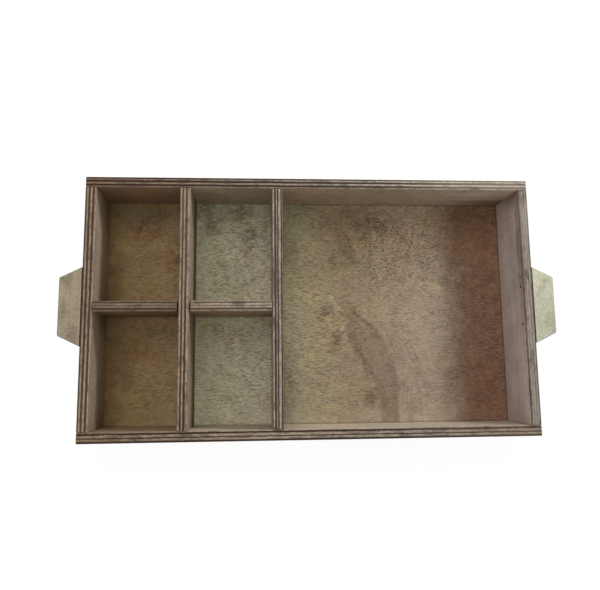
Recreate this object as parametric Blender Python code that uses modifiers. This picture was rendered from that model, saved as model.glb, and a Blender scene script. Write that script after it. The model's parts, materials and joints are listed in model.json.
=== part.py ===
"""Divided serving tray made of plywood boards, glued and pinned together.

Metres, +Z up. +X runs along the tray towards the large bay, +Y towards the back wall.
The origin is on the underside, at the tray's centre.
"""
import bmesh
import bpy
from mathutils import Vector

# Boards
WALL_SHEET = 0.009
DIVIDER_SHEET = 0.009
HANDLE_SHEET = 0.009
BASE_SHEET = 0.006
EASED_EDGE = 0.0005

# Tray, measured over the walls
TRAY_LENGTH = 0.390
TRAY_WIDTH = 0.2255
BAY_DEPTH = 0.048
GLUE_LINE = 0.0003

# Small bays, measured between the boards
FIRST_BAY_LENGTH = 0.0717
SECOND_BAY_LENGTH = 0.0707

# Halving joint of the two dividers: slack on each side of the board in its slot
LAP_SLACK = 0.0012

# Handles
HANDLE_REACH = 0.0188
HANDLE_ROOT_WIDTH = 0.067
HANDLE_TIP_WIDTH = 0.0485

# Panel pins
PIN_RADIUS = 0.0008
PIN_BITE = 0.016
PIN_HEAD_RADIUS = 0.0013
PIN_HEAD_THICKNESS = 0.0009
PIN_HEAD_SET = 0.0004
PIN_POINT_LENGTH = 0.0016
PIN_CLEARANCE = 0.0003
PIN_SIDES = 10
CUT_OVERRUN = 0.001
WELD_DISTANCE = 0.00001

# Places of the pins, as shares of the board or the bay that they are set out on
WALL_PIN_HEIGHT_SHARES = (0.25, 0.7)
HANDLE_PIN_SHARES = (-0.25, 0.25)
HANDLE_PIN_BITE_SHARE = 0.7
END_WALL_BASE_PIN_SHARES = (-0.25, 0.25)
LARGE_BAY_BASE_PIN_SHARES = (0.3, 0.75)
BAY_MIDDLE_SHARE = 0.5

# Worked out from the sizes above
HALF_LENGTH = TRAY_LENGTH / 2
HALF_WIDTH = TRAY_WIDTH / 2
INNER_HALF_LENGTH = HALF_LENGTH - WALL_SHEET
INNER_HALF_WIDTH = HALF_WIDTH - WALL_SHEET
WALL_FOOT = BASE_SHEET + GLUE_LINE
RIM = BASE_SHEET + BAY_DEPTH
MID_HEIGHT = (WALL_FOOT + RIM) / 2
LAPPED_LEFT = -INNER_HALF_LENGTH + FIRST_BAY_LENGTH
LAPPED_RIGHT = LAPPED_LEFT + DIVIDER_SHEET
MAIN_LEFT = LAPPED_RIGHT + SECOND_BAY_LENGTH
MAIN_RIGHT = MAIN_LEFT + DIVIDER_SHEET
LAPPED_X = (LAPPED_LEFT + LAPPED_RIGHT) / 2
MAIN_X = (MAIN_LEFT + MAIN_RIGHT) / 2
LARGE_BAY_LENGTH = INNER_HALF_LENGTH - MAIN_RIGHT
HANDLE_ROOT_X = HALF_LENGTH + GLUE_LINE
HANDLE_TIP_X = HALF_LENGTH + HANDLE_REACH
HANDLE_Z = RIM - HANDLE_SHEET / 2

AXES = {"X": Vector((1, 0, 0)), "Y": Vector((0, 1, 0)), "Z": Vector((0, 0, 1))}

# Name, colour, roughness and metallic value
LOOKS = {
    "wall_plywood": ((0.165, 0.120, 0.088), 0.62, 0.0),
    "divider_plywood": ((0.190, 0.140, 0.100), 0.62, 0.0),
    "base_plywood": ((0.210, 0.165, 0.095), 0.68, 0.0),
    "handle_plywood": ((0.330, 0.290, 0.200), 0.60, 0.0),
    "pin_steel": ((0.300, 0.280, 0.260), 0.45, 0.9),
}


def clear_scene():
    """Remove every object of the open scene."""
    for thing in list(bpy.data.objects):
        bpy.data.objects.remove(thing, do_unlink=True)


def new_collection(name):
    """Return a new collection, linked to the scene."""
    collection = bpy.data.collections.new(name)
    bpy.context.scene.collection.children.link(collection)
    return collection


def new_material(name, colour, roughness, metallic):
    """Return a Principled material of one colour."""
    material = bpy.data.materials.new(name)
    material.use_nodes = True
    shader = material.node_tree.nodes["Principled BSDF"]
    shader.inputs["Base Color"].default_value = (*colour, 1.0)
    shader.inputs["Roughness"].default_value = roughness
    shader.inputs["Metallic"].default_value = metallic
    material.diffuse_color = (*colour, 1.0)
    return material


def direction(signed_axis):
    """Return the unit vector that a name such as '-Y' stands for."""
    sign = -1 if signed_axis[0] == "-" else 1
    return sign * AXES[signed_axis[1]]


def ease_edges(mesh_data, low, high, edge_names):
    """Chamfer the box edges that each pair of face names meets in."""
    centre = (low + high) / 2
    half = (high - low) / 2
    chosen = []
    for first, second in edge_names:
        for edge in mesh_data.edges:
            middle = (edge.verts[0].co + edge.verts[1].co) / 2 - centre
            lies_on = [
                abs(middle.dot(direction(name)) - abs(half.dot(direction(name)))) < WELD_DISTANCE
                for name in (first, second)
            ]
            if all(lies_on):
                chosen.append(edge)
    bmesh.ops.bevel(mesh_data, geom=chosen, offset=EASED_EDGE, segments=1, affect="EDGES")


def add_object(name, mesh_data, collection, material):
    """Turn a bmesh into an object of the collection."""
    mesh = bpy.data.meshes.new(name)
    mesh_data.to_mesh(mesh)
    mesh_data.free()
    mesh.materials.append(material)
    board = bpy.data.objects.new(name, mesh)
    collection.objects.link(board)
    return board


def box(low, high):
    """Return a bmesh box between two corners."""
    mesh_data = bmesh.new()
    bmesh.ops.create_cube(mesh_data, size=1.0)
    bmesh.ops.scale(mesh_data, vec=high - low, verts=mesh_data.verts)
    bmesh.ops.translate(mesh_data, vec=(low + high) / 2, verts=mesh_data.verts)
    return mesh_data


def add_board(name, low, high, eased, collection, material):
    """Add a board between two corners, with its open edges eased."""
    low = Vector(low)
    high = Vector(high)
    mesh_data = box(low, high)
    ease_edges(mesh_data, low, high, eased)
    return add_object(name, mesh_data, collection, material)


def add_long_wall(name, side, collection, material):
    """Add the wall at the front (side -1) or the back (side 1)."""
    low_y, high_y = sorted((side * INNER_HALF_WIDTH, side * HALF_WIDTH))
    low = (-HALF_LENGTH, low_y, WALL_FOOT)
    high = (HALF_LENGTH, high_y, RIM)
    outside = "+Y" if side > 0 else "-Y"
    eased = [("+Z", "+Y"), ("+Z", "-Y"), ("-X", outside), ("+X", outside), ("-X", "+Z"), ("+X", "+Z")]
    return add_board(name, low, high, eased, collection, material)


def add_end_wall(name, side, collection, material):
    """Add the wall at the left end (side -1) or the right end (side 1)."""
    low_x, high_x = sorted((side * INNER_HALF_LENGTH, side * HALF_LENGTH))
    reach = INNER_HALF_WIDTH - GLUE_LINE
    low = (low_x, -reach, WALL_FOOT)
    high = (high_x, reach, RIM)
    return add_board(name, low, high, [("+Z", "+X"), ("+Z", "-X")], collection, material)


def add_divider_across(name, left, right, collection, material):
    """Add a divider that runs between the long walls."""
    reach = INNER_HALF_WIDTH - GLUE_LINE
    low = (left, -reach, WALL_FOOT)
    high = (right, reach, RIM)
    return add_board(name, low, high, [("+Z", "+X"), ("+Z", "-X")], collection, material)


def add_cross_divider(name, collection, material):
    """Add the divider that runs from the left end wall to the main divider."""
    low = (-INNER_HALF_LENGTH + GLUE_LINE, -DIVIDER_SHEET / 2, WALL_FOOT)
    high = (MAIN_LEFT - GLUE_LINE, DIVIDER_SHEET / 2, RIM)
    return add_board(name, low, high, [("+Z", "+Y"), ("+Z", "-Y")], collection, material)


def add_base_panel(name, collection, material):
    """Add the floor, as long and wide as the walls that stand on it."""
    low = (-HALF_LENGTH, -HALF_WIDTH, 0)
    high = (HALF_LENGTH, HALF_WIDTH, BASE_SHEET)
    eased = [("-Z", "+X"), ("-Z", "-X"), ("-Z", "+Y"), ("-Z", "-Y")]
    return add_board(name, low, high, eased, collection, material)


def add_handle(name, side, collection, material):
    """Add a lug that narrows from the end wall to its tip, level with the rim."""
    root_x = side * HANDLE_ROOT_X
    tip_x = side * HANDLE_TIP_X
    low_x, high_x = sorted((root_x, tip_x))
    low = Vector((low_x, -HANDLE_ROOT_WIDTH / 2, RIM - HANDLE_SHEET))
    high = Vector((high_x, HANDLE_ROOT_WIDTH / 2, RIM))
    mesh_data = box(low, high)
    tip = [vert for vert in mesh_data.verts if abs(vert.co.x - tip_x) < WELD_DISTANCE]
    bmesh.ops.scale(mesh_data, vec=(1, HANDLE_TIP_WIDTH / HANDLE_ROOT_WIDTH, 1), verts=tip)
    open_edges = []
    for edge in mesh_data.edges:
        ends = [abs(vert.co.x - root_x) < WELD_DISTANCE for vert in edge.verts]
        if not all(ends):
            open_edges.append(edge)
    bmesh.ops.bevel(mesh_data, geom=open_edges, offset=EASED_EDGE, segments=1, affect="EDGES")
    return add_object(name, mesh_data, collection, material)


def pin_outline(length, clearance, overrun):
    """Return the half outline of a pin, top to bottom, whose head's top is at the origin.

    A clearance turns the pin into its hole, and the overrun carries the hole out of the board.
    """
    head_foot = -PIN_HEAD_THICKNESS - clearance
    shoulder = -length + PIN_POINT_LENGTH - clearance
    return [
        (0, overrun),
        (PIN_HEAD_RADIUS + clearance, overrun),
        (PIN_HEAD_RADIUS + clearance, head_foot),
        (PIN_RADIUS + clearance, head_foot),
        (PIN_RADIUS + clearance, shoulder),
        (0, -length - clearance),
    ]


def turned_mesh(name, outline):
    """Return a mesh that holds an outline in the XZ plane."""
    mesh_data = bmesh.new()
    points = [mesh_data.verts.new((radius, 0, height)) for radius, height in outline]
    for first, second in zip(points, points[1:]):
        mesh_data.edges.new((first, second))
    mesh = bpy.data.meshes.new(name)
    mesh_data.to_mesh(mesh)
    mesh_data.free()
    return mesh


def add_turned(name, mesh, place, heading, collection):
    """Add a turned object whose head looks back along its heading."""
    turned = bpy.data.objects.new(name, mesh)
    turned.location = place
    turned.rotation_mode = "QUATERNION"
    turned.rotation_quaternion = (-heading).to_track_quat("Z", "Y")
    screw = turned.modifiers.new("turn", "SCREW")
    screw.axis = "Z"
    screw.steps = PIN_SIDES
    screw.render_steps = PIN_SIDES
    screw.use_merge_vertices = True
    screw.merge_threshold = WELD_DISTANCE
    collection.objects.link(turned)
    return turned


def cut(board, cutter):
    """Cut one board with one cutter."""
    boolean = board.modifiers.new("cut_" + cutter.name, "BOOLEAN")
    boolean.operation = "DIFFERENCE"
    boolean.solver = "EXACT"
    boolean.object = cutter


def hide_cutter(cutter):
    """Show a cutter as wire only."""
    cutter.hide_render = True
    cutter.display_type = "WIRE"


class Pins:
    """Panel pins, each with a hole through its first board and into its second."""

    def __init__(self, parts, cutters, steel):
        self.parts = parts
        self.cutters = cutters
        self.steel = steel
        self.meshes = {}

    def shape(self, length):
        """Return the pin's mesh and its hole's mesh for one length."""
        if length not in self.meshes:
            pin = turned_mesh("pin", pin_outline(length, 0, 0))
            pin.materials.append(self.steel)
            hole = turned_mesh("pin_hole", pin_outline(length, PIN_CLEARANCE, PIN_HEAD_SET + CUT_OVERRUN))
            self.meshes[length] = (pin, hole)
        return self.meshes[length]

    def drive(self, name, face_point, signed_axis, sheet, bite, boards):
        """Drive one pin from a board's face, through its sheet, by its bite into the next board."""
        heading = direction(signed_axis)
        pin_mesh, hole_mesh = self.shape(sheet + GLUE_LINE + bite - PIN_HEAD_SET)
        place = Vector(face_point) + heading * PIN_HEAD_SET
        add_turned(name, pin_mesh, place, heading, self.parts)
        hole = add_turned(name + "_hole", hole_mesh, place, heading, self.cutters)
        hide_cutter(hole)
        for board in boards:
            cut(board, hole)


def cut_halving_joint(lapped, cross, cutters):
    """Notch the lapped divider from below and the cross divider from above."""
    half_lapped = DIVIDER_SHEET / 2 + LAP_SLACK
    lower = box(
        Vector((LAPPED_LEFT - CUT_OVERRUN, -half_lapped, WALL_FOOT - CUT_OVERRUN)),
        Vector((LAPPED_RIGHT + CUT_OVERRUN, half_lapped, MID_HEIGHT + GLUE_LINE / 2)),
    )
    upper = box(
        Vector((LAPPED_X - half_lapped, -DIVIDER_SHEET / 2 - CUT_OVERRUN, MID_HEIGHT - GLUE_LINE / 2)),
        Vector((LAPPED_X + half_lapped, DIVIDER_SHEET / 2 + CUT_OVERRUN, RIM + CUT_OVERRUN)),
    )
    for board, name, shape in ((lapped, "lower_notch", lower), (cross, "upper_notch", upper)):
        notch = add_object(name, shape, cutters, board.data.materials[0])
        hide_cutter(notch)
        cut(board, notch)


def wall_pin_heights():
    """Return the height of each pin that enters a board's end."""
    return [WALL_FOOT + share * (RIM - WALL_FOOT) for share in WALL_PIN_HEIGHT_SHARES]


def drive_wall_pins(pins, boards):
    """Pin the end walls and both dividers between the long walls."""
    targets = (
        ("corner_pin_left", -HALF_LENGTH + WALL_SHEET / 2, "left_end_wall"),
        ("corner_pin_right", HALF_LENGTH - WALL_SHEET / 2, "right_end_wall"),
        ("divider_pin_lapped", LAPPED_X, "lapped_divider"),
        ("divider_pin_main", MAIN_X, "main_divider"),
    )
    for side, wall, heading in ((-1, "front_wall", "+Y"), (1, "back_wall", "-Y")):
        end = wall.split("_")[0]
        for stem, x, target in targets:
            for level, z in zip(("low", "high"), wall_pin_heights()):
                name = f"{stem}_{end}_{level}"
                face_point = (x, side * HALF_WIDTH, z)
                pins.drive(name, face_point, heading, WALL_SHEET, PIN_BITE, (boards[wall], boards[target]))


def drive_cross_pins(pins, boards):
    """Pin both ends of the cross divider."""
    ends = (
        ("cross_pin_left", -HALF_LENGTH, "+X", WALL_SHEET, "left_end_wall"),
        ("cross_pin_right", MAIN_RIGHT, "-X", DIVIDER_SHEET, "main_divider"),
    )
    for stem, x, heading, sheet, carrier in ends:
        for level, z in zip(("low", "high"), wall_pin_heights()):
            crossed = (boards[carrier], boards["cross_divider"])
            pins.drive(f"{stem}_{level}", (x, 0, z), heading, sheet, PIN_BITE, crossed)


def drive_handle_pins(pins, boards):
    """Pin each handle through its end wall."""
    bite = HANDLE_PIN_BITE_SHARE * (HANDLE_REACH - GLUE_LINE)
    for side, end, heading in ((-1, "left", "-X"), (1, "right", "+X")):
        for place, share in zip(("front", "back"), HANDLE_PIN_SHARES):
            face_point = (side * INNER_HALF_LENGTH, share * HANDLE_ROOT_WIDTH, HANDLE_Z)
            crossed = (boards[f"{end}_end_wall"], boards[f"{end}_handle"])
            pins.drive(f"handle_pin_{end}_{place}", face_point, heading, WALL_SHEET, bite, crossed)


def base_pin_places():
    """Return the name, place and carried wall of each pin through the base."""
    first_bay_x = -INNER_HALF_LENGTH + BAY_MIDDLE_SHARE * FIRST_BAY_LENGTH
    second_bay_x = LAPPED_RIGHT + BAY_MIDDLE_SHARE * SECOND_BAY_LENGTH
    along = [first_bay_x, second_bay_x]
    along += [MAIN_RIGHT + share * LARGE_BAY_LENGTH for share in LARGE_BAY_BASE_PIN_SHARES]
    places = []
    for side, end in ((-1, "front"), (1, "back")):
        y = side * (HALF_WIDTH - WALL_SHEET / 2)
        for number, x in enumerate(along, start=1):
            places.append((f"base_pin_{end}_{number}", (x, y, 0), f"{end}_wall"))
    for side, end in ((-1, "left"), (1, "right")):
        x = side * (HALF_LENGTH - WALL_SHEET / 2)
        for number, share in enumerate(END_WALL_BASE_PIN_SHARES, start=1):
            y = share * 2 * INNER_HALF_WIDTH
            places.append((f"base_pin_{end}_{number}", (x, y, 0), f"{end}_end_wall"))
    return places


def drive_base_pins(pins, boards):
    """Pin the base to the feet of the walls."""
    for name, face_point, wall in base_pin_places():
        pins.drive(name, face_point, "+Z", BASE_SHEET, PIN_BITE, (boards["base_panel"], boards[wall]))


def build_tray():
    """Build the whole tray."""
    clear_scene()
    parts = new_collection("divided_serving_tray")
    cutters = new_collection("cutters")
    looks = {name: new_material(name, *values) for name, values in LOOKS.items()}
    wall = looks["wall_plywood"]
    divider = looks["divider_plywood"]
    handle = looks["handle_plywood"]
    boards = {
        "base_panel": add_base_panel("base_panel", parts, looks["base_plywood"]),
        "front_wall": add_long_wall("front_wall", -1, parts, wall),
        "back_wall": add_long_wall("back_wall", 1, parts, wall),
        "left_end_wall": add_end_wall("left_end_wall", -1, parts, wall),
        "right_end_wall": add_end_wall("right_end_wall", 1, parts, wall),
        "lapped_divider": add_divider_across("lapped_divider", LAPPED_LEFT, LAPPED_RIGHT, parts, divider),
        "main_divider": add_divider_across("main_divider", MAIN_LEFT, MAIN_RIGHT, parts, divider),
        "cross_divider": add_cross_divider("cross_divider", parts, divider),
        "left_handle": add_handle("left_handle", -1, parts, handle),
        "right_handle": add_handle("right_handle", 1, parts, handle),
    }
    cut_halving_joint(boards["lapped_divider"], boards["cross_divider"], cutters)
    pins = Pins(parts, cutters, looks["pin_steel"])
    drive_wall_pins(pins, boards)
    drive_cross_pins(pins, boards)
    drive_handle_pins(pins, boards)
    drive_base_pins(pins, boards)


build_tray()
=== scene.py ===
# %% [markdown]
# # A divided serving tray in stained plywood
# The tray is pinned and glued from ten plywood boards: a base, four walls, three dividers and two
# handles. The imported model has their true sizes, so it is loaded and measured first. Each board is
# then modelled again with what a plain solid lacks: worn arrises, drilled pin holes and a sawn
# joint. Last come the finishes, made of nodes.

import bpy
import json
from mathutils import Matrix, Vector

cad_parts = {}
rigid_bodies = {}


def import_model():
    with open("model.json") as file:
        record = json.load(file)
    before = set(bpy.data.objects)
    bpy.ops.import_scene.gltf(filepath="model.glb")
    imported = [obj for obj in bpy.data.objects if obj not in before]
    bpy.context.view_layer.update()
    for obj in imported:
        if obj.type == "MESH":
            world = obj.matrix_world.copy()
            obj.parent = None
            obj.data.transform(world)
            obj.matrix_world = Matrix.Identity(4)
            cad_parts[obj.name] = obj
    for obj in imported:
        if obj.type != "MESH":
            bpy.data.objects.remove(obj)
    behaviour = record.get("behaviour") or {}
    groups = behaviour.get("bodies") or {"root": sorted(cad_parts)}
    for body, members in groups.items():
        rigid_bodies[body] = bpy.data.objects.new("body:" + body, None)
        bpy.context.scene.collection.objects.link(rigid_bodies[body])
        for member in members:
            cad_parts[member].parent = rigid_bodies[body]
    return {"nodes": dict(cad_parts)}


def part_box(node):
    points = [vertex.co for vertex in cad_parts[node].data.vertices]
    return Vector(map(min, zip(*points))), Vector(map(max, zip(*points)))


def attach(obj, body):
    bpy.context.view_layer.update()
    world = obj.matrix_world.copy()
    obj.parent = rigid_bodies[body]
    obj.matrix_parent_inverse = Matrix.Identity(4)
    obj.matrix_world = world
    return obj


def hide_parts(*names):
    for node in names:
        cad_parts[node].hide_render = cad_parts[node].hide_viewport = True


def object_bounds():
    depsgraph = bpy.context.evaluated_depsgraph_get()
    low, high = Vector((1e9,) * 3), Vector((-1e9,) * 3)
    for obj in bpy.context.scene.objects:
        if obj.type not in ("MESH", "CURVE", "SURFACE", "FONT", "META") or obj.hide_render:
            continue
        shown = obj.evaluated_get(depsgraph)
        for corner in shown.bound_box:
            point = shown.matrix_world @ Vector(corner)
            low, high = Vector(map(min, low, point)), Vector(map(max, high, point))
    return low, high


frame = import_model()
packed_low, packed_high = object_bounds()
print("packed tray in mm:", [round(1000 * side, 1) for side in packed_high - packed_low])

# %% Bring in Blender
import json
import math

import bpy
from mathutils import Vector

MM = 0.001
LONG, WIDE, TALL = range(3)
print("packed pieces:", len(frame["nodes"]))

# %% [markdown]
# ## Sawing a board
# A board leaves the saw as a block with sharp arrises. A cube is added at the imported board's size
# and place, and these go into its mesh, so the object stays at the origin and patterns on Object
# coordinates are in the tray's own metres. The long edges are then divided, because an edge with no
# points between its ends could not be worn in some places and whole in others.

# %% Saw a board to size
ARRIS_STEP = 4 * MM
FEWEST_CUTS = 4
LONG_EDGE_SHARE = 0.6
boards = {}


def add_block(low, high):
    """A block between two corners."""
    bpy.ops.mesh.primitive_cube_add(size=1, location=(low + high) / 2, scale=high - low)
    bpy.ops.object.transform_apply()
    return bpy.context.active_object


def saw_board(name):
    """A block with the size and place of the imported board."""
    boards[name] = board = add_block(*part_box(name))
    board.name = board.data.name = "plywood_" + name


def work_in(mode):
    """Goes into edit mode or object mode."""
    bpy.ops.object.mode_set(mode=mode)


def edit_edges():
    """Edit mode for edges, with none selected."""
    work_in("EDIT")
    bpy.ops.mesh.select_mode(type="EDGE")
    bpy.ops.mesh.select_all(action="DESELECT")


def select_edges(board, wanted):
    """Leaves edit mode on, with only the edges selected whose end points pass."""
    edit_edges()
    work_in("OBJECT")
    points = board.data.vertices
    for edge in board.data.edges:
        edge.select = wanted(*(points[i].co for i in edge.vertices))
    work_in("EDIT")


def divide_edges(board):
    """Cuts every long edge into short lengths."""
    for axis in (LONG, WIDE, TALL):
        side = board.dimensions[axis]
        cuts = int(side / ARRIS_STEP)
        if cuts >= FEWEST_CUTS:
            select_edges(board, lambda a, b: abs(a[axis] - b[axis]) > LONG_EDGE_SHARE * side)
            bpy.ops.mesh.subdivide(number_cuts=cuts)
            work_in("OBJECT")


print("an arris gets a point every", round(ARRIS_STEP / MM, 1), "mm")

# %% [markdown]
# ## Easing and wearing the arrises
# Sandpaper takes the sharpness off plywood, and use rounds it unevenly. The bevel operator rounds
# every edge that is still sharp. A Displace modifier with a cloud texture then pulls the middle of
# each rounding inwards, some places more than others. Its middle level is 1, so nothing moves out
# past the true size.

# %% Name the wear
ARRIS_RADIUS = 0.75 * MM
ARRIS_SEGMENTS = 3
ARRIS_WEAR = 0.3 * MM
SHARP_ANGLE = math.radians(50)
TOUCHING = 0.01 * MM

wear_clouds = bpy.data.textures.new("arris_wear", "CLOUDS")
wear_clouds.noise_scale = 7 * MM
wear_clouds.noise_depth = 2
print("arrises are rounded to", round(ARRIS_RADIUS / MM, 2), "mm")


# %% Round the arrises, then wear them
def glued_sides(name, sides):
    """Sides such as "x- z-", as pairs of an axis and a place on it."""
    corners = dict(zip("-+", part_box(name)))
    axes = [("xyz".index(letter), corners[end]) for letter, end in sides.split()]
    return [(axis, corner[axis]) for axis, corner in axes]


def is_glued(edge, points, joined):
    """True if the edge lies on a glued side."""
    ends = [points[i].co for i in edge.vertices]
    return any(all(abs(end[axis] - place) < TOUCHING for end in ends) for axis, place in joined)


def ease_arrises(board, joined):
    """Rounds the free sharp edges, and wears them unevenly."""
    edit_edges()
    bpy.ops.mesh.edges_select_sharp(sharpness=SHARP_ANGLE)
    work_in("OBJECT")
    for edge in [edge for edge in board.data.edges if edge.select]:
        edge.select = not is_glued(edge, board.data.vertices, joined)
    work_in("EDIT")
    bpy.ops.mesh.bevel(offset=ARRIS_RADIUS, segments=ARRIS_SEGMENTS, affect="EDGES")
    bpy.ops.mesh.select_less()
    work_in("OBJECT")
    rounding = [point.index for point in board.data.vertices if point.select]
    board.vertex_groups.new(name="rounding").add(rounding, 1, "REPLACE")
    wear = board.modifiers.new("Worn arrises", "DISPLACE")
    wear.texture, wear.texture_coords = wear_clouds, "LOCAL"
    wear.vertex_group, wear.mid_level, wear.strength = "rounding", 1, ARRIS_WEAR
    bpy.ops.object.modifier_apply(modifier=wear.name)


print("the wear takes off up to", round(ARRIS_WEAR / MM, 2), "mm")

# %% [markdown]
# ## A drill for the panel pins
# Panel pins hold the boards, and their heads sit a little below the surface. A drill bit with a
# wider shoulder makes such a hole in one go: a cylinder, whose top is extruded outwards into a ring
# and then up into the shoulder. Each hole gets a copy, stretched to its pin's length and turned
# along the pin.

# %% Model the drill once
SHANK_HOLE = 1.1 * MM
HEAD_HOLE = 1.6 * MM
HEAD_DEPTH = 1.2 * MM
DRILL_SIDES = 20
DRILL_REACH = 10 * MM
DRILL_LIFT = 1.5 * MM


def model_drill():
    """A drill that points down, with the top of the pin's head at the origin."""
    bpy.ops.mesh.primitive_cylinder_add(vertices=DRILL_SIDES, radius=SHANK_HOLE, depth=DRILL_REACH,
                                        location=(0, 0, -HEAD_DEPTH - DRILL_REACH / 2))
    bit = bpy.context.active_object
    bit.name = "drill"
    bpy.ops.object.transform_apply()
    select_edges(bit, lambda a, b: min(a.z, b.z) > -HEAD_DEPTH - TOUCHING)
    bpy.ops.mesh.select_mode(type="FACE")
    bpy.ops.mesh.extrude_region_move(TRANSFORM_OT_translate={"value": (0, 0, 0)})
    widen = HEAD_HOLE / SHANK_HOLE
    bpy.ops.transform.resize(value=(widen, widen, 1), center_override=(0, 0, -HEAD_DEPTH))
    up = (0, 0, HEAD_DEPTH + DRILL_LIFT)
    bpy.ops.mesh.extrude_region_move(TRANSFORM_OT_translate={"value": up})
    work_in("OBJECT")
    return bit


drill = model_drill()
print("drill faces:", len(drill.data.polygons))


# %% Set a drill on each pin
def only(axis, number, others=1.0):
    """Three numbers: one for this axis, and another for the other two."""
    return [number if i == axis else others for i in range(3)]


def packed_points(name):
    """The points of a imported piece."""
    return [point.co for point in frame["nodes"][name].data.vertices]


def pin_line(pin):
    """The middle of the pin's head, the way it faces, and the pin's length."""
    low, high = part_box(pin)
    middle, sides = (low + high) / 2, high - low
    axis = max(range(3), key=lambda i: sides[i])
    along = Vector(only(axis, 1, 0))
    points = [point - middle for point in packed_points(pin)]
    widest = max(points, key=lambda p: (p - along * p[axis]).length)
    outwards = along if widest[axis] > 0 else -along
    return middle + outwards * sides[axis] / 2, outwards, sides[axis]


def set_drill(pin):
    """A copy of the drill, stretched to the pin and set on it."""
    head, outwards, length = pin_line(pin)
    bit = drill.copy()
    bit.data = drill.data.copy()
    bpy.context.collection.objects.link(bit)
    for point in bit.data.vertices:
        if point.co.z < -HEAD_DEPTH - DRILL_REACH / 2:
            point.co.z = -length - SHANK_HOLE
    turn = Vector((0, 0, 1)).rotation_difference(outwards).to_matrix().to_4x4()
    turn.translation = head
    bit.data.transform(turn)
    return bit


pins = sorted(name for name in frame["nodes"] if "_pin_" in name)
lengths = [round(pin_line(pin)[2] / MM, 1) for pin in pins]
print(len(pins), "pins, from", min(lengths), "to", max(lengths), "mm long")

# %% [markdown]
# ## Cutting
# Holes and slots are cut with Boolean modifiers, as a drill and a saw cut the real board. All
# the drills that meet a board are joined, so one cut makes all of its holes.

# %% Cut holes and slots
def cut_away(board, tool):
    """Takes the tool's shape out of the board, and removes the tool."""
    cut = board.modifiers.new("Cut", "BOOLEAN")
    cut.operation, cut.solver, cut.object = "DIFFERENCE", "EXACT", tool
    bpy.context.view_layer.objects.active = board
    bpy.ops.object.modifier_apply(modifier=cut.name)
    bpy.data.objects.remove(tool)


def select_only(pieces):
    """Selects these pieces, and makes the first one active."""
    bpy.ops.object.select_all(action="DESELECT")
    for piece in pieces:
        piece.select_set(True)
    bpy.context.view_layer.objects.active = pieces[0]


def join(pieces):
    """Makes one object of several."""
    select_only(pieces)
    bpy.ops.object.join()
    return pieces[0]


def meets(pin, board_name):
    """True if the pin's box overlaps the board's box."""
    (low, high), (board_low, board_high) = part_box(pin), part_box(board_name)
    return all(low[i] < board_high[i] and high[i] > board_low[i] for i in range(3))


def drill_board(name):
    """Drills the hole of every pin that meets this board."""
    bits = [set_drill(pin) for pin in pins if meets(pin, name)]
    if bits:
        cut_away(boards[name], join(bits))


print("tools ready")

# %% [markdown]
# ## Finishing a board
# Smooth shading is limited by angle, so roundings are smooth and slots stay crisp. A Weighted
# Normal modifier lets the broad faces keep their own direction, so the shading of a rounding does
# not creep across the board beside it.

# %% Smooth a board and place it
SMOOTH_ANGLE = math.radians(40)


def finish_board(name):
    """Shades the board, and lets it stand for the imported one."""
    board = boards[name]
    select_only([board])
    bpy.ops.object.shade_smooth_by_angle(angle=SMOOTH_ANGLE)
    even = board.modifiers.new("Even faces", "WEIGHTED_NORMAL")
    even.keep_sharp = True
    bpy.ops.object.modifier_apply(modifier=even.name)
    board.vertex_groups.clear()
    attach(board, "root")
    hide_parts(name)
    print(name, "has", len(board.data.polygons), "faces")


# %% [markdown]
# ## The four walls and the base
# The long walls run the full length, the end walls are butted between them, and all four stand on
# the base, one thinner sheet under all five bays. A glued side was never sanded round, so each
# board lists its own: "y- z-" means those at its lowest y and its lowest z.

# %% Make the walls and the base
def shape_board(name, joined):
    """Saws a board, divides its edges and eases them."""
    saw_board(name)
    divide_edges(boards[name])
    ease_arrises(boards[name], glued_sides(name, joined))


for name, joined in (("front_wall", "z-"), ("back_wall", "z-"), ("left_end_wall", "y- y+ z-"),
                     ("right_end_wall", "y- y+ z-"), ("base_panel", "z+")):
    shape_board(name, joined)
    drill_board(name)
    finish_board(name)

# %% [markdown]
# ## The dividers and their halving joint
# Where two dividers cross, each is sawn halfway through, the cross divider from above and the other
# from below. The slot on top is wider than the board in it, so a gap shows on both sides. The
# packed boards have the same slots, whose corners are read from the points near the crossing.

# %% Measure the slots
def slot_corners(name, axis, other):
    """The lowest and highest corner of the slot where two boards cross."""
    low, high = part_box(other)
    middle, reach = (low[axis] + high[axis]) / 2, high[axis] - low[axis]
    near = [point for point in packed_points(name) if abs(point[axis] - middle) < reach]
    return [Vector([pick(point[i] for point in near) for i in range(3)]) for pick in (min, max)]


lap_low, lap_high = slot_corners("lapped_divider", WIDE, "cross_divider")
cross_low, cross_high = slot_corners("cross_divider", LONG, "lapped_divider")
print("the lapped divider's notch ends at z", round(lap_high.z / MM, 2), "mm")
print("the cross divider's slot is", round((cross_high.x - cross_low.x) / MM, 2), "mm wide")

# %% Make the dividers
BLADE_OVERSHOOT = 3 * MM

shape_board("lapped_divider", "y- y+ z-")
shape_board("main_divider", "y- y+ z-")
shape_board("cross_divider", "x- x+ z-")

past_x, past_y, past_z = (Vector(only(axis, BLADE_OVERSHOOT, 0)) for axis in range(3))
cut_away(boards["lapped_divider"], add_block(lap_low - past_x - past_z, lap_high + past_x))
cut_away(boards["cross_divider"], add_block(cross_low - past_y, cross_high + past_y + past_z))

for name in ("lapped_divider", "main_divider", "cross_divider"):
    drill_board(name)
    finish_board(name)

# %% [markdown]
# ## The handles
# Each handle is a short flat lug, pinned to the outside of an end wall and level with the rim. It
# starts as a block like the others. Its outer end is then made narrower, by scaling the points of
# that end along the tray's width.

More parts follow.
